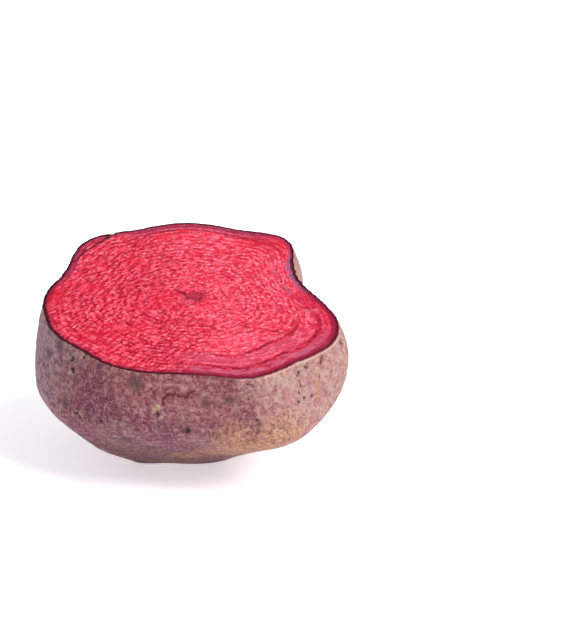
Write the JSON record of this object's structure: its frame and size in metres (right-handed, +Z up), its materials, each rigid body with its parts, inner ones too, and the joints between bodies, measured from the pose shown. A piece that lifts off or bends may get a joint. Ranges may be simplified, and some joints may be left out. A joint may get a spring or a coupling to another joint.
{
  "type": "beetroot",
  "caption": "Cut beetroot: the lower part of a globe-shaped root with a flat, slightly slanting cut face, swollen shoulders and a deep side furrow, standing on a small flat scar.",
  "frame": {"origin": "on the surface it rests on, under the middle of its bounding box, which is about a millimetre from the flat spot's middle", "axes": "+Z up, square to the flat spot; -Y is the side that the cut face leans down towards; +X is the side with the deep furrow"},
  "size_m": [0.0898, 0.0992, 0.0596],
  "materials": {
    "beetroot": "dry, matte, dusty purple-brown skin; the cut face is moist crimson flesh with fine rings"
  },
  "bodies": {
    "root": {"beetroot": "beetroot"}
  },
  "joints": []
}
